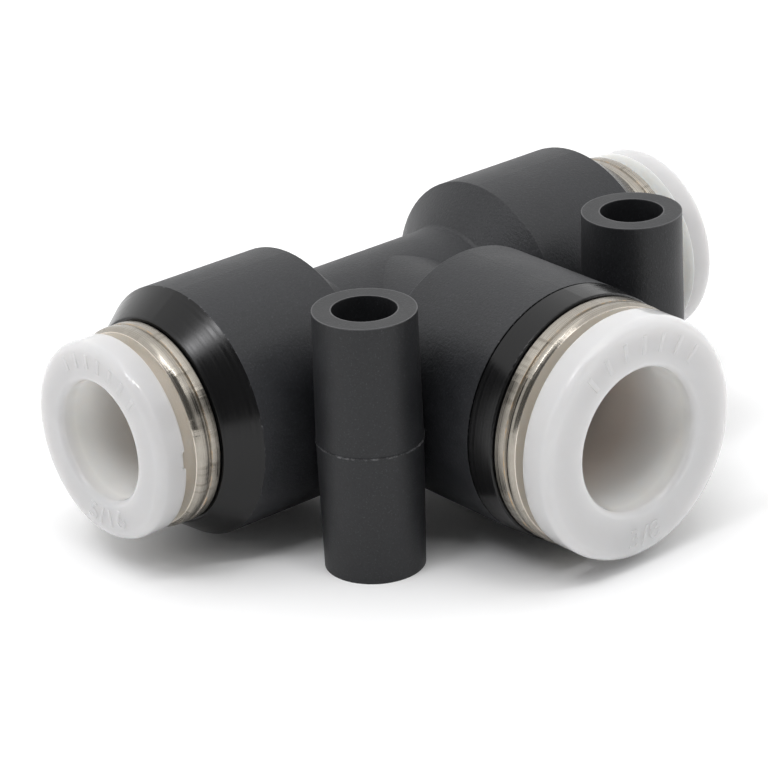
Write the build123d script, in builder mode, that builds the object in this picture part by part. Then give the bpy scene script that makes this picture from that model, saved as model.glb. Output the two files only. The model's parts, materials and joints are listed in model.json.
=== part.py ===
from build123d import *
from collections import namedtuple
import os

# Push-to-connect reducing union tee with two mounting posts, in millimetres.
# The origin is midway between the two mounting holes, on the plane of the posts' feet.
# +X is along the straight run, +Z is along the posts, and the branch opens towards -Y.

# Moulded body
AXIS_HEIGHT = 8.92  # tube axes above the posts' feet
RUN_OFFSET = 11.84  # run axis behind the line of the two mounting holes
NECK_LENGTH = 5.82  # from the crossing of the axes to the foot of each shoulder cone
SHOULDER_END = 8.35
SOCKET_R = 8.5
NECK_ROOT_ROUND = 0.4
EDGE_ROUND = 0.12
RIM_LINE_WIDTH = 0.12  # fine line where the branch socket's smooth rim begins
RIM_LINE_DEPTH = 0.06
TUBE_STOP = 6.3  # where the tube's end comes to rest, from the crossing

# Mounting posts, moulded in two tapered halves that meet at the parting line
POST_SPACING = 23.4
POST_HEIGHT = 2 * AXIS_HEIGHT
POST_FOOT_R = 3.30
POST_MIDDLE_R = 3.48
POST_TOP_R = 3.38
POST_HOLE_R = 2.12
POST_WEB_HEIGHT = 5.0
POST_WEB_ROOT = 3.5  # how far the web runs on into the corner between the necks
FLASH_WIDTH = 0.12
FLASH_PROUD = 0.05

# Inside of a port, as distances out from the crossing of the axes
SLEEVE_SEAT = 11.0
SLEEVE_END = 13.6
SPACER_DISH_FLOOR = 14.4
SPACER_END = 15.85
CLAWS_END = 16.15
SHANK_END = 16.2
LAND_START = 17.75
BARB_BACK = 17.65
BARB_FRONT = 17.0
NOSE_TIP = 15.55
PORT_FACE = 24.65

# Radii of a port's inner pieces, as additions to the tube's radius
GUIDE_BORE_PLAY = 0.06
RING_BORE_PLAY = 0.10
SPACER_PLAY = 0.25
SPACER_DISH_WALL = 0.90
SLEEVE_END_PLAY = 0.15
SLEEVE_LIP_BITE = 0.20
TOOTH_BITE = 0.25
NOSE_WALL = 0.55
RING_WALL = 0.95
BARB_WALL = 1.23
COUNTERBORE_WALL = 1.43
TOOTH_ROOT = 1.50
SOCKET_WALL = 2.00

# Fits and small features
RUNNING_PLAY = 0.06
SEAT_PLAY = 0.02
SHANK_BARB_BITE = 0.08
SHANK_BARBS = 3
SHANK_BARB_PITCH = 0.9
CLAW_THICKNESS = 0.25
CLAW_TEETH = 16
CLAW_SLOT_WIDTH = 0.45
TOOTH_TIP = 14.7
MOUTH_CHAMFER = 0.4
COLLAR_GAP = 0.10
COLLAR_GROOVE_WIDTH = 0.24
COLLAR_GROOVE_DEPTH = 0.16
FLANGE_ROUND = 0.7
BORE_ROUND = 0.45
GATE_NOTCH_ANGLE = -87.5  # round the ring from straight up
GATE_NOTCH_WIDTH = 1.15
GATE_NOTCH_DEPTH = 0.25
GATE_NOTCH_LENGTH = 0.25

CROSSING = Vector(0, RUN_OFFSET, AXIS_HEIGHT)

Port = namedtuple(
    "Port",
    "name direction tube_r neck_r flow_r barrel_end mouth_r body_end"
    " collar_r collar_front_r collar_end groove_at flange_r flange_back",
)


def run_port(name, direction):
    """A 5/16 in tube port; its socket ends in a long chamfer."""
    return Port(
        name, direction, tube_r=7.9375 / 2, neck_r=5.95, flow_r=3.2,
        barrel_end=17.65, mouth_r=6.98, body_end=19.8,
        collar_r=6.82, collar_front_r=6.53, collar_end=21.68, groove_at=20.69,
        flange_r=6.71, flange_back=22.65,
    )


def branch_port(name, direction):
    """A 3/8 in tube port; its socket ends in a nearly straight rim."""
    return Port(
        name, direction, tube_r=9.525 / 2, neck_r=5.90, flow_r=3.1,
        barrel_end=17.6, mouth_r=8.36, body_end=19.7,
        collar_r=8.23, collar_front_r=8.0, collar_end=21.57, groove_at=20.82,
        flange_r=8.17, flange_back=22.48,
    )


PORTS = [
    run_port("left", Vector(-1, 0, 0)),
    run_port("right", Vector(1, 0, 0)),
    branch_port("branch", Vector(0, -1, 0)),
]


def profile_plane(port):
    """Half plane of a port's profiles: local x is the radius, local y the way out."""
    up = Vector(0, 0, 1)
    return Plane(origin=CROSSING, x_dir=up, z_dir=up.cross(port.direction))


def cross_plane(port, distance):
    """Plane square to a port's axis, with its normal pointing out of the mouth."""
    return Plane(origin=CROSSING + port.direction * distance, x_dir=(0, 0, 1), z_dir=port.direction)


def port_axis(port):
    return Axis(CROSSING, port.direction)


def revolve_outline(port, points, rounds=(), mode=Mode.ADD):
    """Turn a closed outline of (radius, distance) points about a port's axis.

    rounds holds (corner, radius) pairs for the corners that are rounded.
    """
    with BuildSketch(profile_plane(port)) as outline:
        with BuildLine():
            Polyline(*points, close=True)
        make_face()
        for corner, radius in rounds:
            fillet(outline.vertices().sort_by_distance(corner)[0], radius)
    revolve(outline.sketch, axis=port_axis(port), mode=mode)


def finish(part, name):
    part.part.label = name
    export_step(part.part, f"parts/{name}.step")


def add_socket(port):
    """Neck, shoulder cone, barrel and tapered mouth of one arm of the tee."""
    neck_root = (port.neck_r, NECK_LENGTH)
    shoulder = (SOCKET_R, SHOULDER_END)
    barrel_edge = (SOCKET_R, port.barrel_end)
    mouth_edge = (port.mouth_r, port.body_end)
    revolve_outline(
        port,
        [(0, 0), (port.neck_r, 0), neck_root, shoulder, barrel_edge, mouth_edge, (0, port.body_end)],
        rounds=[(neck_root, NECK_ROOT_ROUND), (shoulder, EDGE_ROUND), (mouth_edge, EDGE_ROUND)],
    )


def cut_rim_line(port):
    """The fine line between a socket's textured barrel and its smooth rim."""
    half_width = RIM_LINE_WIDTH / 2
    revolve_outline(
        port,
        [
            (SOCKET_R + RIM_LINE_DEPTH, port.barrel_end - half_width),
            (SOCKET_R + RIM_LINE_DEPTH, port.barrel_end + half_width),
            (SOCKET_R - RIM_LINE_DEPTH, port.barrel_end),
        ],
        mode=Mode.SUBTRACT,
    )


def socket_bore_outline(port):
    """Flow bore, tube stop, tube guide, seat for the inner pieces and lead-in."""
    guide_r = port.tube_r + GUIDE_BORE_PLAY
    socket_bore_r = port.tube_r + SOCKET_WALL
    return [
        (0, 0),
        (port.flow_r, 0),
        (port.flow_r, TUBE_STOP),
        (guide_r, TUBE_STOP),
        (guide_r, SLEEVE_SEAT),
        (socket_bore_r, SLEEVE_SEAT),
        (socket_bore_r, port.body_end - MOUTH_CHAMFER),
        (socket_bore_r + MOUTH_CHAMFER, port.body_end),
        (0, port.body_end),
    ]


def add_post(side):
    """One mounting post with its flash line and the web that joins it to the tee."""
    foot = Vector(side * POST_SPACING / 2, 0, 0)
    half_flash = FLASH_WIDTH / 2
    with BuildSketch(Plane(origin=foot, x_dir=(1, 0, 0), z_dir=(0, -1, 0))) as outline:
        with BuildLine():
            Polyline(
                (0, 0),
                (POST_FOOT_R, 0),
                (POST_MIDDLE_R, AXIS_HEIGHT - half_flash),
                (POST_MIDDLE_R + FLASH_PROUD, AXIS_HEIGHT - half_flash),
                (POST_MIDDLE_R + FLASH_PROUD, AXIS_HEIGHT + half_flash),
                (POST_MIDDLE_R, AXIS_HEIGHT + half_flash),
                (POST_TOP_R, POST_HEIGHT),
                (0, POST_HEIGHT),
                close=True,
            )
        make_face()
    revolve(outline.sketch, axis=Axis(foot, (0, 0, 1)))
    web_width = POST_SPACING / 2 - SOCKET_R + POST_WEB_ROOT
    web_depth = RUN_OFFSET - SOCKET_R + POST_WEB_ROOT
    web_centre = (side * (POST_SPACING / 2 - web_width / 2), web_depth / 2)
    with BuildSketch(Plane.XY.offset(AXIS_HEIGHT - POST_WEB_HEIGHT / 2)) as web:
        with Locations(web_centre):
            Rectangle(web_width, web_depth)
    extrude(web.sketch, amount=POST_WEB_HEIGHT)


def make_body():
    """The moulded tee: three sockets, the necks that join them and both posts."""
    with BuildPart() as body:
        for port in PORTS:
            add_socket(port)
        for side in (-1, 1):
            add_post(side)
        cut_rim_line(PORTS[-1])
        for port in PORTS:
            revolve_outline(port, socket_bore_outline(port), mode=Mode.SUBTRACT)
        with BuildSketch():
            with GridLocations(POST_SPACING, 0, 2, 1):
                Circle(POST_HOLE_R)
        extrude(amount=POST_HEIGHT, mode=Mode.SUBTRACT)
    finish(body, "body")


def make_elastic_sleeve(port):
    """Rubber seal: a short sleeve whose inside swells to a rounded lip."""
    end_r = port.tube_r + SLEEVE_END_PLAY
    outer_r = port.tube_r + SOCKET_WALL - SEAT_PLAY
    middle = (SLEEVE_SEAT + SLEEVE_END) / 2
    with BuildPart() as sleeve:
        with BuildSketch(profile_plane(port)):
            with BuildLine():
                Polyline(
                    (end_r, SLEEVE_SEAT),
                    (outer_r, SLEEVE_SEAT),
                    (outer_r, SLEEVE_END),
                    (end_r, SLEEVE_END),
                )
                ThreePointArc(
                    (end_r, SLEEVE_END),
                    (port.tube_r - SLEEVE_LIP_BITE, middle),
                    (end_r, SLEEVE_SEAT),
                )
            make_face()
        revolve(axis=port_axis(port))
    finish(sleeve, f"{port.name}_elastic_sleeve")


def make_claw_spacer(port):
    """Ring between the seal and the claws, dished so that the teeth can bend in."""
    outer_r = port.tube_r + SOCKET_WALL - SEAT_PLAY
    bore_r = port.tube_r + SPACER_PLAY
    dish_floor_r = port.tube_r + SPACER_DISH_WALL
    dish_mouth_r = port.tube_r + TOOTH_ROOT
    with BuildPart() as spacer:
        revolve_outline(
            port,
            [
                (bore_r, SLEEVE_END),
                (outer_r, SLEEVE_END),
                (outer_r, SPACER_END),
                (dish_mouth_r, SPACER_END),
                (dish_floor_r, SPACER_DISH_FLOOR),
                (bore_r, SPACER_DISH_FLOOR),
            ],
        )
    finish(spacer, f"{port.name}_claw_spacer")


def make_lock_claws(port):
    """Stamped spring-steel ring: a flat rim and a cone of teeth that point inwards."""
    outer_r = port.tube_r + SOCKET_WALL - SEAT_PLAY
    root_r = port.tube_r + TOOTH_ROOT
    tip_r = port.tube_r - TOOTH_BITE
    rim_back = CLAWS_END - CLAW_THICKNESS
    with BuildPart() as claws:
        revolve_outline(
            port,
            [
                (outer_r, rim_back),
                (outer_r, CLAWS_END),
                (root_r, CLAWS_END),
                (tip_r, TOOTH_TIP + CLAW_THICKNESS),
                (tip_r, TOOTH_TIP),
                (root_r, rim_back),
            ],
        )
        with BuildSketch(cross_plane(port, TOOTH_TIP - 1)):
            with PolarLocations(root_r / 2, CLAW_TEETH):
                Rectangle(root_r, CLAW_SLOT_WIDTH)
        extrude(amount=CLAWS_END - TOOTH_TIP + 2, mode=Mode.SUBTRACT)
    finish(claws, f"{port.name}_lock_claws")


def make_guide_ring(port):
    """Plated brass ring: barbed shank in the body and a grooved collar outside it."""
    shank_r = port.tube_r + SOCKET_WALL - SEAT_PLAY
    barb_r = port.tube_r + SOCKET_WALL + SHANK_BARB_BITE
    land_r = port.tube_r + RING_WALL + RUNNING_PLAY
    counterbore_r = port.tube_r + COUNTERBORE_WALL
    collar_back = port.body_end + COLLAR_GAP
    front_chamfer = port.collar_r - port.collar_front_r
    with BuildPart() as guide:
        revolve_outline(
            port,
            [
                (counterbore_r, SHANK_END),
                (shank_r, SHANK_END),
                (shank_r, collar_back),
                (port.collar_r - COLLAR_GAP, collar_back),
                (port.collar_r, collar_back + COLLAR_GAP),
                (port.collar_r, port.collar_end - front_chamfer),
                (port.collar_front_r, port.collar_end),
                (land_r, port.collar_end),
                (land_r, LAND_START),
                (counterbore_r, LAND_START),
            ],
        )
        for index in range(SHANK_BARBS):
            barb_start = SHANK_END + 0.2 + index * SHANK_BARB_PITCH
            revolve_outline(
                port,
                [
                    (shank_r - SHANK_BARB_BITE, barb_start),
                    (shank_r, barb_start),
                    (barb_r, barb_start + SHANK_BARB_PITCH / 2),
                    (shank_r - SHANK_BARB_BITE, barb_start + SHANK_BARB_PITCH / 2),
                ],
            )
        revolve_outline(
            port,
            [
                (port.collar_r, port.groove_at - COLLAR_GROOVE_WIDTH / 2),
                (port.collar_r, port.groove_at + COLLAR_GROOVE_WIDTH / 2),
                (port.collar_r - COLLAR_GROOVE_DEPTH, port.groove_at),
            ],
            mode=Mode.SUBTRACT,
        )
    finish(guide, f"{port.name}_guide_ring")


def make_release_ring(port):
    """Push ring: rounded flange, sleeve with a snap barb and the nose that opens the claws."""
    bore_r = port.tube_r + RING_BORE_PLAY
    sleeve_r = port.tube_r + RING_WALL
    barb_r = port.tube_r + BARB_WALL
    round_centre = (port.flange_r - FLANGE_ROUND, PORT_FACE - FLANGE_ROUND)
    mouth_centre = (bore_r + BORE_ROUND, PORT_FACE - BORE_ROUND)
    with BuildPart() as ring:
        with BuildSketch(profile_plane(port)):
            with BuildLine():
                Polyline(
                    (bore_r, PORT_FACE - BORE_ROUND),
                    (bore_r, NOSE_TIP),
                    (port.tube_r + NOSE_WALL, NOSE_TIP),
                    (barb_r, BARB_FRONT),
                    (barb_r, BARB_BACK),
                    (sleeve_r, BARB_BACK),
                    (sleeve_r, port.flange_back),
                    (port.flange_r, port.flange_back),
                    (port.flange_r, PORT_FACE - FLANGE_ROUND),
                )
                CenterArc(round_centre, FLANGE_ROUND, 0, 90)
                Line((round_centre[0], PORT_FACE), (mouth_centre[0], PORT_FACE))
                CenterArc(mouth_centre, BORE_ROUND, 90, 90)
            make_face()
        revolve(axis=port_axis(port))
        with BuildSketch(cross_plane(port, port.flange_back)):
            with PolarLocations(port.flange_r, 1, start_angle=GATE_NOTCH_ANGLE):
                Rectangle(2 * GATE_NOTCH_DEPTH, GATE_NOTCH_WIDTH)
        extrude(amount=GATE_NOTCH_LENGTH, mode=Mode.SUBTRACT)
    finish(ring, f"{port.name}_release_ring")


os.makedirs("parts", exist_ok=True)
make_body()
for each_port in PORTS:
    make_elastic_sleeve(each_port)
    make_claw_spacer(each_port)
    make_lock_claws(each_port)
    make_guide_ring(each_port)
    make_release_ring(each_port)
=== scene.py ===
import json
import math
from collections import namedtuple

import bmesh
import bpy
from mathutils import Matrix, Vector


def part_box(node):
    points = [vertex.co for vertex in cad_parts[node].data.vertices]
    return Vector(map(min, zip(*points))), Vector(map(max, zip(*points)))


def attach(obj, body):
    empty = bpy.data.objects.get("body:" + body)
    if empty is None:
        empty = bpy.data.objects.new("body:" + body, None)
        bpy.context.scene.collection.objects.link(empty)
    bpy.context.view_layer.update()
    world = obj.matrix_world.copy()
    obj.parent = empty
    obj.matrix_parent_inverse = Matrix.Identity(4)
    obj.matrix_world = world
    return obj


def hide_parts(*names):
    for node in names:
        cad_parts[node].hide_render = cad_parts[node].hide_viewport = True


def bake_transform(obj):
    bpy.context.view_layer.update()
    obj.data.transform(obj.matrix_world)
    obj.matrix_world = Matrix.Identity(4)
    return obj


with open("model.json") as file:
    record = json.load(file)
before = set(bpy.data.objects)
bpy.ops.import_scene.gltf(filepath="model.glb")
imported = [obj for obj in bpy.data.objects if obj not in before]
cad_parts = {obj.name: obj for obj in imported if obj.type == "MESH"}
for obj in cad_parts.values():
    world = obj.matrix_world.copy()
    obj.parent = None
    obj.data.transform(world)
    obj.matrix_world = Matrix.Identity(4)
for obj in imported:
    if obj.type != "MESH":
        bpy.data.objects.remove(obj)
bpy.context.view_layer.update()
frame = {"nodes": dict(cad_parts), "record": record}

MM = 0.001
UP = Vector((0, 0, 1))

# The tube axes cross at one point, which the record's port mounts give.
MOUNTS = {mount["name"]: mount for mount in frame["record"]["mounts"]}
run_axis_point = MOUNTS["left_tube_port"]["pos_m"]
CROSSING = Vector((0, run_axis_point[1], run_axis_point[2]))

# Distances out from the crossing and sizes of the ports, in millimetres
BARREL_END = {"X": 17.65, "Y": 17.6}
NOSE_TIP = 15.55
PORT_FACE = 24.65

# A mounting post's place from the crossing, along X and Y, and the radius it stays
# within; how far its top is above the crossing, and the radii of the top's two edges
HOLE_SPACING = MOUNTS["mounting_holes"]["dims"]["spacing_x_mm"]
POST_PLACE = (HOLE_SPACING / 2, -CROSSING.y / MM, 3.7)
POST_TOP = 8.92
POST_TOP_EDGES = (3.36, 2.15)


class Port:
    """Sizes of one port in millimetres, and the directions of its own frame."""

    def __init__(self, name, body_end, groove_at, collar_end, collar_front_drop, flange_back):
        self.name = name
        mount = MOUNTS[f"{name}_tube_port"]
        self.out = Vector(mount["axis"])
        self.side = self.out.cross(UP)
        self.bore_r = mount["dims"]["r_mm"]
        self.tube_r = self.bore_r - 0.10
        self.flange_r = self.half_height(f"{name}_release_ring")
        self.collar_r = self.half_height(f"{name}_guide_ring")
        self.collar_back = body_end + 0.10
        self.groove_at = groove_at
        self.collar_end = collar_end
        self.collar_front_r = self.collar_r - collar_front_drop
        self.flange_back = flange_back

    @staticmethod
    def half_height(node):
        low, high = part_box(node)
        return (high[2] - low[2]) / 2 / MM

    def point(self, radius, distance, angle):
        """A point in metres; the angle runs from straight up towards self.side."""
        radial = UP * math.cos(angle) + self.side * math.sin(angle)
        return CROSSING + (radial * radius + self.out * distance) * MM


LEFT = Port("left", 19.8, 20.69, 21.68, 0.29, 22.65)
RIGHT = Port("right", 19.8, 20.69, 21.68, 0.29, 22.65)
BRANCH = Port("branch", 19.7, 20.82, 21.57, 0.23, 22.48)


# ---------------------------------------------------------------- camera and light

CAMERA_AZIMUTH = math.radians(-39.474)
CAMERA_ELEVATION = math.radians(24.059)
CAMERA_ROLL = math.radians(-2.476)
CAMERA_DISTANCE = 238.585 * MM
CAMERA_AIM = Vector((-5.701, -6.196, 0.012)) * MM
CAMERA_LENS = 169.14

TENT_RADIANCE = 1.15
ROOM_RADIANCE = 0.13
# Gaps in the tent: which way each one lies, and the angles over which it closes
TENT_GAPS = (
    (Vector((-0.66, -0.66, 0.36)), 38, 62),
    (Vector((0.55, -0.73, 0.40)), 7, 17),
)


def add_camera():
    back = Vector((
        math.sin(CAMERA_AZIMUTH) * math.cos(CAMERA_ELEVATION),
        -math.cos(CAMERA_AZIMUTH) * math.cos(CAMERA_ELEVATION),
        math.sin(CAMERA_ELEVATION),
    ))
    level = Vector((math.cos(CAMERA_AZIMUTH), math.sin(CAMERA_AZIMUTH), 0))
    upright = back.cross(level)
    right = math.cos(CAMERA_ROLL) * level + math.sin(CAMERA_ROLL) * upright
    data = bpy.data.cameras.new("camera")
    data.lens = CAMERA_LENS
    data.sensor_width = 36
    data.clip_start = 0.01
    data.clip_end = 20
    camera = bpy.data.objects.new("camera", data)
    turn = Matrix((right, back.cross(right), back)).transposed().to_4x4()
    place = CROSSING + CAMERA_AIM + back * CAMERA_DISTANCE
    camera.matrix_world = Matrix.Translation(place) @ turn
    bpy.context.collection.objects.link(camera)
    bpy.context.scene.camera = camera


def add_softbox(name, place, size, radiance, colour=(1, 1, 1)):
    """A rectangular light of even brightness, aimed at the part."""
    data = bpy.data.lights.new(name, "AREA")
    data.shape = "RECTANGLE"
    data.size, data.size_y = size
    data.energy = radiance * math.pi * size[0] * size[1]
    data.color = colour
    lamp = bpy.data.objects.new(name, data)
    lamp.location = Vector(place)
    lamp.rotation_euler = (CROSSING - lamp.location).to_track_quat("-Z", "Y").to_euler()
    bpy.context.collection.objects.link(lamp)


def add_floor():
    half = 4.0
    corners = [(-half, -half, 0), (half, -half, 0), (half, half, 0), (-half, half, 0)]
    mesh = bpy.data.meshes.new("floor")
    mesh.from_pydata(corners, [], [(0, 1, 2, 3)])
    floor = bpy.data.objects.new("floor", mesh)
    bpy.context.collection.objects.link(floor)
    paper = bpy.data.materials.new("floor_paper")
    paper.use_nodes = True
    shader = paper.node_tree.nodes["Principled BSDF"]
    shader.inputs["Base Color"].default_value = (0.97, 0.97, 0.97, 1)
    shader.inputs["Roughness"].default_value = 0.7
    shader.inputs["Specular IOR Level"].default_value = 0.2
    mesh.materials.append(paper)


def add_surround():
    """A white tent all round, with gaps that show a dark room where the viewer stands."""
    world = bpy.data.worlds.new("tent")
    world.use_nodes = True
    nodes = world.node_tree.nodes
    links = world.node_tree.links
    coordinates = nodes.new("ShaderNodeTexCoord")
    openness = None
    for direction, inner, outer in TENT_GAPS:
        towards = nodes.new("ShaderNodeVectorMath")
        towards.operation = "DOT_PRODUCT"
        towards.inputs[1].default_value = direction.normalized()
        links.new(coordinates.outputs["Generated"], towards.inputs[0])
        fade = nodes.new("ShaderNodeMapRange")
        fade.interpolation_type = "SMOOTHSTEP"
        fade.inputs["From Min"].default_value = math.cos(math.radians(outer))
        fade.inputs["From Max"].default_value = math.cos(math.radians(inner))
        links.new(towards.outputs["Value"], fade.inputs["Value"])
        widest = nodes.new("ShaderNodeMath")
        widest.operation = "MAXIMUM"
        links.new(fade.outputs["Result"], widest.inputs[0])
        if openness is None:
            widest.inputs[1].default_value = 0.0
        else:
            links.new(openness, widest.inputs[1])
        openness = widest.outputs[0]
    strength = nodes.new("ShaderNodeMapRange")
    strength.inputs["To Min"].default_value = TENT_RADIANCE
    strength.inputs["To Max"].default_value = ROOM_RADIANCE
    links.new(openness, strength.inputs["Value"])
    links.new(strength.outputs["Result"], nodes["Background"].inputs["Strength"])
    nodes["Background"].inputs["Color"].default_value = (1, 1, 1, 1)
    bpy.context.scene.world = world


def add_studio():
    bpy.context.scene.view_settings.view_transform = "Standard"
    add_surround()
    add_softbox("overhead_box", (0.0, 0.03, 0.60), (0.40, 0.40), 0.9)
    add_softbox("front_box", (0.054, -0.37, 0.47), (0.16, 0.16), 2.6)
    add_softbox("strip_light", (-0.09, -0.175, 0.60), (0.34, 0.022), 26.0)
    add_softbox("key_box", (-0.32, -0.01, 0.58), (0.21, 0.26), 3.6, (0.98, 0.98, 1.0))
    add_softbox("key_core", (-0.31, -0.01, 0.57), (0.10, 0.12), 9.5, (0.98, 0.98, 1.0))
    add_floor()


# ---------------------------------------------------------------- materials

class Shader:
    """Small helper around one material's node tree."""

    def __init__(self, name):
        self.material = bpy.data.materials.new(name)
        self.material.use_nodes = True
        self.tree = self.material.node_tree
        self.surface = self.tree.nodes["Principled BSDF"]
        coordinates = self.tree.nodes.new("ShaderNodeTexCoord")
        scaled = self.add("ShaderNodeVectorMath", operation="SCALE")
        self.tree.links.new(coordinates.outputs["Object"], scaled.inputs[0])
        scaled.inputs["Scale"].default_value = 1 / MM
        self.millimetres = scaled.outputs["Vector"]

    def add(self, kind, **settings):
        node = self.tree.nodes.new(kind)
        for key, value in settings.items():
            setattr(node, key, value)
        return node

    def feed(self, socket, value):
        """Link a socket or set a plain value."""
        if isinstance(value, bpy.types.NodeSocket):
            self.tree.links.new(value, socket)
        else:
            socket.default_value = value

    def set(self, **values):
        """Feed the surface shader's sockets, named with _ for each space."""
        for key, value in values.items():
            self.feed(self.surface.inputs[key.replace("_", " ")], value)

    def math(self, operation, a, b=0.0, c=0.0, clamp=False):
        node = self.add("ShaderNodeMath", operation=operation, use_clamp=clamp)
        for socket, value in zip(node.inputs, (a, b, c)):
            self.feed(socket, value)
        return node.outputs[0]

    def noise(self, scale, detail=2.0, roughness=0.5, vector=None):
        node = self.add("ShaderNodeTexNoise")
        self.feed(node.inputs["Vector"], vector or self.millimetres)
        node.inputs["Scale"].default_value = scale
        node.inputs["Detail"].default_value = detail
        node.inputs["Roughness"].default_value = roughness
        return node.outputs["Fac"]

    def spread(self, value, low, high, start=0.0, end=1.0):
        """Map a value from start..end to low..high, clamped."""
        node = self.add("ShaderNodeMapRange")
        for socket, number in zip(node.inputs, (value, start, end, low, high)):
            self.feed(socket, number)
        return node.outputs["Result"]

    def mix(self, factor, a, b):
        node = self.add("ShaderNodeMix", data_type="FLOAT")
        self.feed(node.inputs[0], factor)
        self.feed(node.inputs[2], a)
        self.feed(node.inputs[3], b)
        return node.outputs[0]

    def mix_colour(self, factor, a, b):
        node = self.add("ShaderNodeMix", data_type="RGBA")
        self.feed(node.inputs[0], factor)
        self.feed(node.inputs[6], a if isinstance(a, bpy.types.NodeSocket) else (*a, 1))
        self.feed(node.inputs[7], b if isinstance(b, bpy.types.NodeSocket) else (*b, 1))
        return node.outputs[2]

    def bump(self, height, strength, distance_mm):
        """Bump whose height is in units of distance_mm."""
        node = self.add("ShaderNodeBump")
        self.feed(node.inputs["Height"], height)
        self.feed(node.inputs["Strength"], strength)
        node.inputs["Distance"].default_value = distance_mm * MM
        self.tree.links.new(node.outputs["Normal"], self.surface.inputs["Normal"])

    def from_crossing(self, axis):
        """Signed distance from the crossing along one axis, in millimetres."""
        split = self.add("ShaderNodeSeparateXYZ")
        self.feed(split.inputs[0], self.millimetres)
        return self.math("SUBTRACT", split.outputs[axis], CROSSING["XYZ".index(axis)] / MM)

    def along(self, axis):
        """Distance out from the crossing along a tube axis, in millimetres."""
        return self.math("ABSOLUTE", self.from_crossing(axis))

    def from_axis(self, axis):
        """Distance from a tube axis, in millimetres."""
        across = self.from_crossing("Y" if axis == "X" else "X")
        height = self.from_crossing("Z")
        return self.math("SQRT", self.math("ADD", self.square(across), self.square(height)))

    def square(self, value):
        return self.math("MULTIPLY", value, value)

    def near(self, distance, places, half_width):
        """1 within half_width of any of the places, fading to 0 at twice that."""
        total = 0.0
        for place in places:
            off = self.math("ABSOLUTE", self.math("SUBTRACT", distance, place))
            total = self.math("MAXIMUM", total, self.spread(off, 1.0, 0.0, half_width, 2 * half_width))
        return total

    def line_noise(self, distance, scale, detail=3.0):
        """Fine lines square to an axis: noise along one distance only."""
        node = self.add("ShaderNodeTexNoise", noise_dimensions="1D")
        self.feed(node.inputs["W"], distance)
        node.inputs["Scale"].default_value = scale
        node.inputs["Detail"].default_value = detail
        return node.outputs["Fac"]


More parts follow.
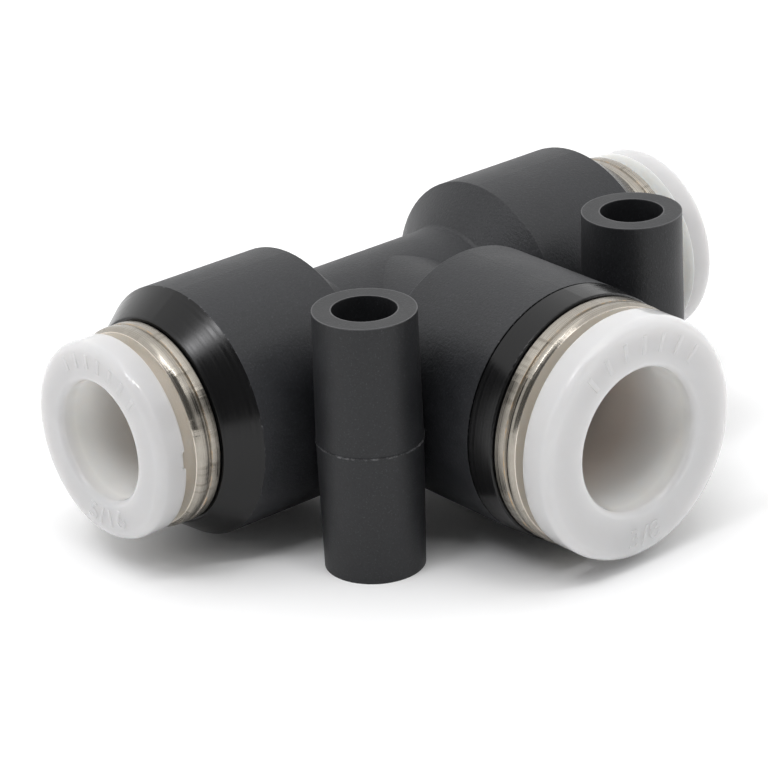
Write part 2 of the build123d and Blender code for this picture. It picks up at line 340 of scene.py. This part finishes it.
def body_material():
    """Glass-filled black plastic: fine matte grain, and smooth tool-turned mouths."""
    shader = Shader("body_plastic")
    run = shader.along("X")
    branch = shader.along("Y")
    run_mouth = shader.math("GREATER_THAN", run, BARREL_END["X"])
    branch_mouth = shader.math("GREATER_THAN", branch, BARREL_END["Y"])
    smooth = shader.math("MAXIMUM", run_mouth, branch_mouth)

    post_x = shader.math("SUBTRACT", run, POST_PLACE[0])
    post_y = shader.math("SUBTRACT", shader.from_crossing("Y"), POST_PLACE[1])
    from_post = shader.math("SQRT", shader.math("ADD", shader.square(post_x), shader.square(post_y)))
    on_posts = shader.math("LESS_THAN", from_post, POST_PLACE[2])

    grain = shader.noise(5.5, 3.0, 0.65)
    cloud = shader.noise(0.30, 4.0, 0.55)
    haze = shader.math("ADD", shader.math("MULTIPLY", cloud, 0.5), shader.math("MULTIPLY", grain, 0.5))
    tone = shader.spread(haze, 0.0, 1.0, 0.36, 0.64)
    speck = shader.spread(shader.noise(9.0, 1.0), 0.0, 1.0, 0.62, 0.72)
    matte = shader.mix_colour(tone, (0.0088, 0.0094, 0.0114), (0.0190, 0.0201, 0.0230))
    # Painted shade: the mounting posts, which stand in shade under the tee, are mixed towards black
    matte = shader.mix_colour(shader.math("MULTIPLY", on_posts, 0.3), matte, (0.002, 0.002, 0.002))
    flecked = shader.mix_colour(shader.math("MULTIPLY", speck, 0.3), matte, (0.060, 0.062, 0.070))

    # Painted highlights: a pale line along the posts' flash line, broken up by noise, and pale rings
    # round the edges of the posts' tops. Pale specks also fall here and there along the mouths' edges.
    flash_breakup = shader.spread(shader.noise(2.6, 5.0, 0.75), 0.0, 1.0, 0.46, 0.60)
    rare = shader.spread(shader.noise(3.4, 5.0, 0.75), 0.0, 1.0, 0.58, 0.64)
    height = shader.from_crossing("Z")
    flash = shader.math("MULTIPLY", shader.near(height, [0.0], 0.05), on_posts)
    post_rims = shader.math(
        "MULTIPLY",
        shader.math("MULTIPLY", shader.near(from_post, POST_TOP_EDGES, 0.035), on_posts),
        shader.math("GREATER_THAN", height, POST_TOP - 0.06),
    )
    mouth_edges = shader.near(run, [BARREL_END["X"]], 0.04)
    mouth_edges = shader.math("MAXIMUM", mouth_edges, shader.near(branch, [BARREL_END["Y"]], 0.04))
    edge_marks = shader.math("MULTIPLY", flash, flash_breakup)
    edge_marks = shader.math("MAXIMUM", edge_marks, shader.math("MULTIPLY", mouth_edges, rare))
    edge_marks = shader.math("MAXIMUM", edge_marks, shader.math("MULTIPLY", post_rims, 0.55))
    seam = shader.near(branch, [BARREL_END["Y"] + 0.07], 0.035)
    gloss = shader.mix_colour(cloud, (0.0040, 0.0040, 0.0042), (0.0060, 0.0060, 0.0064))
    colour = shader.mix_colour(smooth, flecked, gloss)
    colour = shader.mix_colour(seam, colour, (0.0004, 0.0004, 0.0004))
    # Mix in the painted highlights and the specks as a pale grey
    colour = shader.mix_colour(shader.math("MULTIPLY", edge_marks, 0.8), colour, (0.13, 0.13, 0.135))

    turned = shader.mix(run_mouth, shader.line_noise(branch, 5.0), shader.line_noise(run, 5.0))
    matte_roughness = shader.spread(cloud, 0.45, 0.55, 0.3, 0.7)
    smooth_roughness = shader.spread(turned, 0.18, 0.27, 0.35, 0.65)
    shine = shader.mix(smooth, 0.44, 0.32)
    shader.set(
        Base_Color=colour,
        Roughness=shader.mix(smooth, matte_roughness, smooth_roughness),
        Specular_IOR_Level=shader.mix(seam, shine, 0.0),
        IOR=1.5,
    )
    texture = shader.math("MULTIPLY", grain, shader.mix(on_posts, 1.0, 0.55))
    relief = shader.mix(smooth, texture, shader.math("MULTIPLY", turned, 0.12))
    shader.bump(relief, 0.9, 0.034)
    return shader.material


# Colours of a release ring: the flange's darkest and palest milk, and the painted glow far down the
# bore
Milk = namedtuple("Milk", "low high deep")
RUN_MILK = Milk((0.512, 0.512, 0.520), (0.542, 0.542, 0.548), (0.785, 0.721, 0.660))
BRANCH_MILK = Milk((0.560, 0.560, 0.567), (0.590, 0.590, 0.595), (0.792, 0.719, 0.660))


def ring_material(axis, port, colours):
    """Milky acetal that lets light through, painted paler than the flange and warmer far down the
    bore.

    The hidden parts, down the bore and behind the flange, are painted a paler colour. This painted
    glow stands for light coming through the ring, and these parts spread light less far. The flange's
    back is painted paler still and faintly blue, a painted glow beside the brass.
    """
    shader = Shader(f"ring_plastic_{port.name}")
    cloud = shader.noise(0.22, 3.0, 0.5)
    fine = shader.noise(4.0, 3.0, 0.6)
    depth = shader.math("SUBTRACT", PORT_FACE, shader.along(axis))
    radius = shader.from_axis(axis)
    # Where the painted glow goes: the bore walls from a little way in, and everything behind the
    # flange
    in_bore = shader.math(
        "MULTIPLY",
        shader.spread(radius, 1.0, 0.0, port.bore_r + 0.02, port.bore_r + 0.2),
        shader.spread(depth, 0.0, 1.0, 0.1, 1.2),
    )
    flange_depth = PORT_FACE - port.flange_back
    behind = shader.spread(depth, 0.0, 1.0, flange_depth - 0.04, flange_depth - 0.01)
    hidden = shader.math("MAXIMUM", in_bore, behind)
    on_back = shader.math("MULTIPLY", behind, shader.math("GREATER_THAN", radius, port.tube_r + 1.3))
    deep = shader.spread(depth, 0.0, 1.0, 2.2, 6.2)
    milk = shader.mix_colour(cloud, colours.low, colours.high)
    # Painted glow: the hidden parts are painted pale, warmer far down the bore, for the light that
    # comes through the ring
    clear = shader.mix_colour(deep, (0.908, 0.909, 0.894), colours.deep)
    # Painted glow: the flange's back is painted pale and faintly blue
    clear = shader.mix_colour(on_back, clear, (0.88, 0.91, 0.945))
    shader.set(
        Base_Color=shader.mix_colour(hidden, milk, clear),
        Roughness=shader.spread(fine, 0.05, 0.09, 0.3, 0.7),
        Specular_IOR_Level=0.42,
        Subsurface_Weight=1.0,
        Subsurface_Radius=(1.0, 0.95, 0.90),
        Subsurface_Scale=shader.mix(hidden, 0.0040, 0.0012),
        IOR=1.48,
    )
    shader.bump(fine, 0.15, 0.008)
    return shader.material


def plated_brass_material(axis, port):
    """Nickel-plated turned brass: lines round the axis, chatter, warm edges where the plating wears,
    and a front face painted pale.
    """
    shader = Shader(f"plated_brass_{port.name}")
    distance = shader.along(axis)
    lines = shader.line_noise(distance, 9.0, 4.0)
    across = shader.from_crossing("Y" if axis == "X" else "X")
    angle = shader.math("ARCTAN2", across, shader.from_crossing("Z"))
    ticks = shader.line_noise(angle, 17.0, 2.5)
    tick_band = shader.spread(shader.noise(0.45, 2.0), 0.0, 1.0, 0.46, 0.60)
    stain = shader.noise(1.4, 4.0, 0.65)
    edges = shader.near(distance, [port.groove_at - 0.12, port.groove_at + 0.13], 0.018)
    edge_marks = shader.math("MULTIPLY", edges, shader.spread(stain, 0.0, 0.85, 0.47, 0.62))
    nickel = shader.mix_colour(stain, (0.285, 0.263, 0.228), (0.415, 0.386, 0.340))
    # Painted light: the collar's front face, in the shade of the gap before the flange, is painted a
    # pale warm grey and made partly diffuse
    front = shader.near(distance, [port.collar_end], 0.02)
    rungs = shader.math("MULTIPLY", shader.spread(ticks, 0.0, 1.0, 0.52, 0.57), tick_band)
    nickel = shader.mix_colour(shader.math("MULTIPLY", rungs, 0.4), nickel, (0.10, 0.085, 0.065))
    # The front face takes its painted pale colour here
    plated = shader.mix_colour(front, nickel, (0.70, 0.635, 0.56))
    shader.set(
        Base_Color=shader.mix_colour(edge_marks, plated, (0.50, 0.35, 0.21)),
        Metallic=shader.mix(front, 1.0, 0.88),
        Roughness=shader.spread(lines, 0.18, 0.36, 0.3, 0.7),
        Anisotropic=0.8,
        Anisotropic_Rotation=0.25,
    )
    tangent = shader.add("ShaderNodeTangent", direction_type="RADIAL", axis=axis)
    shader.tree.links.new(tangent.outputs["Tangent"], shader.surface.inputs["Tangent"])
    chatter = shader.math("MULTIPLY", ticks, shader.spread(tick_band, 0.5, 6.0))
    shader.bump(shader.math("ADD", shader.math("MULTIPLY", lines, 0.6), chatter), 0.5, 0.012)
    return shader.material


def claw_material():
    """Stamped spring steel with a brushed face."""
    shader = Shader("claw_steel")
    brushed = shader.noise(4.0, 4.0, 0.7)
    shader.set(
        Base_Color=shader.mix_colour(brushed, (0.42, 0.42, 0.43), (0.58, 0.58, 0.60)),
        Metallic=1.0,
        Roughness=shader.spread(brushed, 0.25, 0.45, 0.3, 0.7),
    )
    shader.bump(brushed, 0.2, 0.01)
    return shader.material


def spacer_material():
    """Natural acetal of the hidden backing rings."""
    shader = Shader("spacer_plastic")
    cloud = shader.noise(0.6, 3.0, 0.5)
    shader.set(
        Base_Color=shader.mix_colour(cloud, (0.60, 0.59, 0.55), (0.70, 0.69, 0.65)),
        Roughness=shader.spread(cloud, 0.40, 0.55, 0.3, 0.7),
    )
    shader.bump(shader.noise(6.0), 0.2, 0.01)
    return shader.material


def rubber_material():
    """Black nitrile rubber with a faint bloom."""
    shader = Shader("seal_rubber")
    bloom = shader.noise(1.2, 4.0, 0.6)
    shader.set(
        Base_Color=shader.mix_colour(bloom, (0.012, 0.012, 0.012), (0.028, 0.027, 0.026)),
        Roughness=shader.spread(bloom, 0.45, 0.65, 0.3, 0.7),
        Sheen_Weight=0.1,
    )
    shader.bump(shader.noise(8.0), 0.25, 0.01)
    return shader.material


# ---------------------------------------------------------------- mesh pieces

# Columns round a turned ring, and the angle from which an edge is shaded sharp
RING_COLUMNS = 192
COLLAR_COLUMNS = 256
SHARP_ANGLE = math.radians(35)


def arc(centre, radius, start, end, steps=6):
    """Points of (radius, distance) round a corner, angles in degrees."""
    return [
        (
            centre[0] + radius * math.cos(math.radians(start + (end - start) * index / steps)),
            centre[1] + radius * math.sin(math.radians(start + (end - start) * index / steps)),
        )
        for index in range(steps + 1)
    ]


def even_angles(count):
    return [2 * math.pi * index / count for index in range(count)]


def finish_piece(piece, material):
    """Smooth shading with sharp edges kept, and the material."""
    mesh = piece.data
    mesh.materials.append(material)
    mesh.shade_smooth()
    mesh.set_sharp_from_angle(angle=SHARP_ANGLE)


def flatten_faces(piece):
    """Let the large faces of a piece set its shading, so that flats look flat."""
    weighted = piece.modifiers.new("flat_faces", "WEIGHTED_NORMAL")
    weighted.keep_sharp = True


def close_mesh(mesh):
    """Merge doubled points, split the faces that aren't flat and turn them all outwards."""
    shape = bmesh.new()
    shape.from_mesh(mesh)
    bmesh.ops.remove_doubles(shape, verts=shape.verts, dist=1e-7)
    bmesh.ops.connect_verts_nonplanar(shape, angle_limit=math.radians(3), faces=shape.faces)
    bmesh.ops.recalc_face_normals(shape, faces=shape.faces)
    shape.to_mesh(mesh)
    shape.free()


def turned_mesh(name, port, section, angles):
    """Closed ring turned about a port's axis.

    section(angle) gives the closed outline as (radius, distance) points, always
    the same number.
    """
    vertices = []
    for angle in angles:
        outline = section(angle)
        vertices += [port.point(radius, distance, angle) for radius, distance in outline]
    count = len(outline)
    faces = []
    for column in range(len(angles)):
        after = (column + 1) % len(angles)
        for row in range(count):
            below = (row + 1) % count
            faces.append((
                column * count + row,
                column * count + below,
                after * count + below,
                after * count + row,
            ))
    mesh = bpy.data.meshes.new(name)
    mesh.from_pydata(vertices, [], faces)
    close_mesh(mesh)
    piece = bpy.data.objects.new(name, mesh)
    bpy.context.collection.objects.link(piece)
    return piece


# Walls of a release ring, measured from the tube, and distances out from the crossing
RING_WALL = 0.95
BARB_WALL = 1.23
NOSE_WALL = 0.55
BARB_FRONT = 17.0
BARB_BACK = 17.65
FLANGE_ROUND = 0.7
BORE_ROUND = 0.45
# The notch in the flange's back edge, and half the angle over which each end of it steps
NOTCH_ANGLE = math.radians(272.5)
NOTCH_WIDTH = 1.15
NOTCH_SIZE = 0.25
NOTCH_STEP = 0.002


def ring_section(port, notched):
    """Outline of a release ring; the notch moves only the flange's back corner."""
    sleeve_r = port.tube_r + RING_WALL
    inner_r = port.flange_r - NOTCH_SIZE
    notch_end = port.flange_back + NOTCH_SIZE
    corner = (inner_r, notch_end) if notched else (port.flange_r, port.flange_back)
    soft = 0.08
    points = [
        (port.bore_r, NOSE_TIP + soft),
        (port.bore_r + soft, NOSE_TIP),
        (port.tube_r + NOSE_WALL - soft, NOSE_TIP),
        (port.tube_r + NOSE_WALL, NOSE_TIP + soft),
        (port.tube_r + BARB_WALL, BARB_FRONT),
        (port.tube_r + BARB_WALL, BARB_BACK),
        (sleeve_r, BARB_BACK),
        (sleeve_r, port.flange_back),
        (inner_r, port.flange_back),
        corner,
        (port.flange_r, notch_end),
    ]
    points += [(port.flange_r, PORT_FACE - FLANGE_ROUND - 0.3)]
    points += arc((port.flange_r - FLANGE_ROUND, PORT_FACE - FLANGE_ROUND), FLANGE_ROUND, 0, 90, 12)
    points += arc((port.bore_r + BORE_ROUND, PORT_FACE - BORE_ROUND), BORE_ROUND, 90, 180, 10)
    return points


# Marks on the face of each release ring: its tube size below and plain ticks above
MARK_HEIGHT = 0.07
TICK_WIDTH = 0.34
TICK_COUNT = 7
Marks = namedtuple("Marks", "text text_angle text_radii ticks_angle ticks_span tick_radii")
RUN_MARKS = Marks("5/16", 185, (4.6, 5.85), -6.5, 77, (5.0, 6.0))
BRANCH_MARKS = Marks("3/8", 182, (6.05, 7.35), -3.5, 83, (5.9, 7.2))
MARKS = {"left": RUN_MARKS, "right": RUN_MARKS, "branch": BRANCH_MARKS}


def curved_text(port, text, middle_angle, low_r, high_r):
    """Raised numerals bent round the foot of the face, as (vertices, faces)."""
    curve = bpy.data.curves.new("numerals", "FONT")
    curve.body = text
    curve.align_x = "CENTER"
    curve.size = 1.0
    curve.space_character = 1.08
    curve.extrude = 0.5
    curve.resolution_u = 4
    holder = bpy.data.objects.new("numerals", curve)
    bpy.context.collection.objects.link(holder)
    flat = bpy.data.meshes.new_from_object(holder.evaluated_get(bpy.context.evaluated_depsgraph_get()))
    tall = max(vertex.co.y for vertex in flat.vertices)
    scale = (high_r - low_r) / tall
    vertices = []
    for vertex in flat.vertices:
        radius = high_r - vertex.co.y * scale
        angle = middle_angle + vertex.co.x * scale * 1.15 / ((low_r + high_r) / 2)
        vertices.append(port.point(radius, PORT_FACE + vertex.co.z * 2 * MARK_HEIGHT, angle))
    faces = [tuple(polygon.vertices) for polygon in flat.polygons]
    bpy.data.objects.remove(holder)
    bpy.data.meshes.remove(flat)
    return vertices, faces


def tick(port, angle, low_r, high_r):
    """One plain raised bar with a narrower crown, as (vertices, faces)."""
    vertices = []
    for height, inset in ((-MARK_HEIGHT, 0.0), (0.6 * MARK_HEIGHT, 0.0), (MARK_HEIGHT, 0.05)):
        inner, outer = low_r + inset, high_r - inset
        for across, radius in ((-1, inner), (1, inner), (1, outer), (-1, outer)):
            swing = across * (TICK_WIDTH / 2 - inset) / radius
            vertices.append(port.point(radius, PORT_FACE + height, angle + swing))
    faces = [(0, 1, 2, 3), (8, 9, 10, 11)]
    for level in (0, 4):
        for corner in range(4):
            low = level + corner
            next_low = level + (corner + 1) % 4
            faces.append((low, next_low, next_low + 4, low + 4))
    return vertices, faces


def raised_marks(port):
    """Closed raised marks that stand on the face of a port's release ring."""
    marks = MARKS[port.name]
    parts = [curved_text(port, marks.text, math.radians(marks.text_angle), *marks.text_radii)]
    for index in range(TICK_COUNT):
        turn = marks.ticks_angle + marks.ticks_span * (index / (TICK_COUNT - 1) - 0.5)
        parts.append(tick(port, math.radians(turn), *marks.tick_radii))
    vertices = []
    faces = []
    for part_vertices, part_faces in parts:
        start = len(vertices)
        vertices += part_vertices
        faces += [tuple(start + index for index in face) for face in part_faces]
    mesh = bpy.data.meshes.new("marks")
    mesh.from_pydata(vertices, [], faces)
    close_mesh(mesh)
    return mesh


def union(piece, mesh):
    """Join a closed mesh into a piece, so that the piece stays one closed skin."""
    other = bpy.data.objects.new("joined", mesh)
    bpy.context.collection.objects.link(other)
    joiner = piece.modifiers.new("marks", "BOOLEAN")
    joiner.operation = "UNION"
    joiner.solver = "EXACT"
    joiner.object = other
    graph = bpy.context.evaluated_depsgraph_get()
    joined = bpy.data.meshes.new_from_object(piece.evaluated_get(graph))
    piece.modifiers.remove(joiner)
    bare = piece.data
    piece.data = joined
    bpy.data.meshes.remove(bare)
    bpy.data.objects.remove(other)
    bpy.data.meshes.remove(mesh)


def make_release_ring(port, material):
    name = f"{port.name}_push_ring"
    half_notch = NOTCH_WIDTH / 2 / port.flange_r
    edges = [NOTCH_ANGLE - half_notch, NOTCH_ANGLE + half_notch]
    angles = even_angles(RING_COLUMNS)
    angles = [a for a in angles if all(abs(a - edge) > 3 * NOTCH_STEP for edge in edges)]
    for edge in edges:
        angles += [edge - NOTCH_STEP, edge + NOTCH_STEP]
    angles.sort()

    def section(angle):
        return ring_section(port, abs(angle - NOTCH_ANGLE) < half_notch)

    piece = turned_mesh(name, port, section, angles)
    union(piece, raised_marks(port))
    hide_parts(f"{port.name}_release_ring")
    finish_piece(piece, material)
    flatten_faces(piece)
    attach(piece, f"{port.name}_release")


def crowned(radius, start, end, crown, steps=6):
    """A land that swells by crown in its middle, as (radius, distance) points."""
    return [
        (radius - crown * (2 * index / steps - 1) ** 2, start + (end - start) * index / steps)
        for index in range(steps + 1)
    ]


def guide_section(port):
    """Outline of a guide ring, from the end of its shank round by the collar."""
    shank_r = port.tube_r + 1.98
    land_r = port.tube_r + RING_WALL + 0.06
    counterbore_r = port.tube_r + 1.43
    groove_half = 0.12
    groove_depth = 0.16
    drop = port.collar_r - port.collar_front_r
    points = [(counterbore_r, 16.2), (shank_r, 16.2), (shank_r, port.collar_back)]
    points += [(port.collar_r - 0.10, port.collar_back)]
    points += crowned(port.collar_r, port.collar_back + 0.08, port.groove_at - groove_half, 0.025)
    points += [
        (port.collar_r - groove_depth, port.groove_at - 0.04),
        (port.collar_r - groove_depth, port.groove_at + 0.04),
    ]
    points += crowned(port.collar_r, port.groove_at + groove_half, port.collar_end - drop, 0.035)
    points += [
        (port.collar_r - 0.045, port.collar_end - drop + 0.02),
        (port.collar_front_r + 0.02, port.collar_end - 0.03),
        (port.collar_front_r - 0.02, port.collar_end),
        (land_r + 0.15, port.collar_end),
        (land_r, port.collar_end - 0.15),
        (land_r, 17.75),
        (counterbore_r, 17.75),
    ]
    return points


def make_guide_ring(port, material):
    points = guide_section(port)
    piece = turned_mesh(f"{port.name}_collar", port, lambda angle: points, even_angles(COLLAR_COLUMNS))
    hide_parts(f"{port.name}_guide_ring")
    finish_piece(piece, material)
    flatten_faces(piece)
    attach(piece, "housing")


# Lock claws: a flat rim and a cone of teeth, thinner towards their tips. The real teeth bend next to
# the rim when the release ring moves in; here they stay as built. Walls are measured from the tube.
CLAW_TEETH = 16
CLAW_SLOT_HALF = 0.225
CLAW_FRONT = 16.15
CLAW_OUTER_WALL = 1.98
CLAW_ROOT_WALL = 1.50
CLAW_BITE = 0.25
CLAW_SLOPE = 1.2 / 1.75
CLAW_THICKNESS = 0.25
CLAW_TIP_THICKNESS = 0.035
CLAW_THINNING = 0.172
CLAW_BEND = (15.93, 15.50)
TOOTH_COLUMNS = 5
TOOTH_ROWS = 12


def tooth_column(port, tooth, column):
    """(front, back) points down one column of a tooth, from the outside of the rim to the tip."""
    pitch = 2 * math.pi / CLAW_TEETH
    tooth_length = CLAW_ROOT_WALL + CLAW_BITE
    walls = [CLAW_OUTER_WALL]
    walls += [CLAW_ROOT_WALL - tooth_length * row / TOOTH_ROWS for row in range(TOOTH_ROWS + 1)]
    points = []
    for wall in walls:
        radius = port.tube_r + wall
        down = max(0.0, CLAW_ROOT_WALL - wall)
        slot = math.asin(CLAW_SLOT_HALF / (port.tube_r + CLAW_ROOT_WALL - down))
        angle = pitch * tooth + slot + (pitch - 2 * slot) * column / (TOOTH_COLUMNS - 1)
        front = CLAW_FRONT - CLAW_SLOPE * down
        back = front - max(CLAW_TIP_THICKNESS, CLAW_THICKNESS - CLAW_THINNING * down)
        points.append((port.point(radius, front, angle), port.point(radius, back, angle)))
    return points


def claw_faces():
    """Faces of the claws; each row of a column has a front point, then a back point."""
    rows = TOOTH_ROWS + 2
    columns = CLAW_TEETH * TOOTH_COLUMNS

    def front(column, row):
        return (column % columns * rows + row) * 2

    faces = []
    for column in range(columns):
        place = column % TOOTH_COLUMNS
        over_slot = place == TOOTH_COLUMNS - 1
        walls = [((column, 0), (column + 1, 0))]
        if over_slot:
            walls.append(((column, 1), (column + 1, 1)))
        else:
            walls.append(((column, rows - 1), (column + 1, rows - 1)))
        if place == 0 or over_slot:
            walls += [((column, row), (column, row + 1)) for row in range(1, rows - 1)]
        for one, other in walls:
            a, b = front(*one), front(*other)
            faces.append((a, b, b + 1, a + 1))
        for row in range(1 if over_slot else rows - 1):
            corners = [(column, row), (column + 1, row), (column + 1, row + 1), (column, row + 1)]
            skin = [front(*corner) for corner in corners]
            faces.append(tuple(skin))
            faces.append(tuple(index + 1 for index in reversed(skin)))
    return faces


def make_claws(port, material):
    vertices = []
    for tooth in range(CLAW_TEETH):
        for column in range(TOOTH_COLUMNS):
            for pair in tooth_column(port, tooth, column):
                vertices += pair
    mesh = bpy.data.meshes.new(f"{port.name}_claws")
    mesh.from_pydata(vertices, [], claw_faces())
    close_mesh(mesh)
    piece = bpy.data.objects.new(mesh.name, mesh)
    bpy.context.collection.objects.link(piece)
    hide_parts(f"{port.name}_lock_claws")
    finish_piece(piece, material)
    still, moving = (port.point(0, distance, 0) for distance in CLAW_BEND)
    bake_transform(piece)


# ---------------------------------------------------------------- the scene

add_camera()
add_studio()

run_brass = plated_brass_material("X", LEFT)
branch_brass = plated_brass_material("Y", BRANCH)
run_milk = ring_material("X", LEFT, RUN_MILK)
branch_milk = ring_material("Y", BRANCH, BRANCH_MILK)
MATERIALS = {
    "body": body_material(),
    "release_ring": run_milk,
    "lock_claws": claw_material(),
    "claw_spacer": spacer_material(),
    "elastic_sleeve": rubber_material(),
    "guide_ring": run_brass,
}
for name, node in frame["nodes"].items():
    kind = name if name == "body" else name.split("_", 1)[1]
    node.data.materials.clear()
    node.data.materials.append(MATERIALS[kind])
for each_port in (LEFT, RIGHT, BRANCH):
    is_run = each_port is not BRANCH
    make_release_ring(each_port, run_milk if is_run else branch_milk)
    make_guide_ring(each_port, run_brass if is_run else branch_brass)
    make_claws(each_port, MATERIALS["lock_claws"])
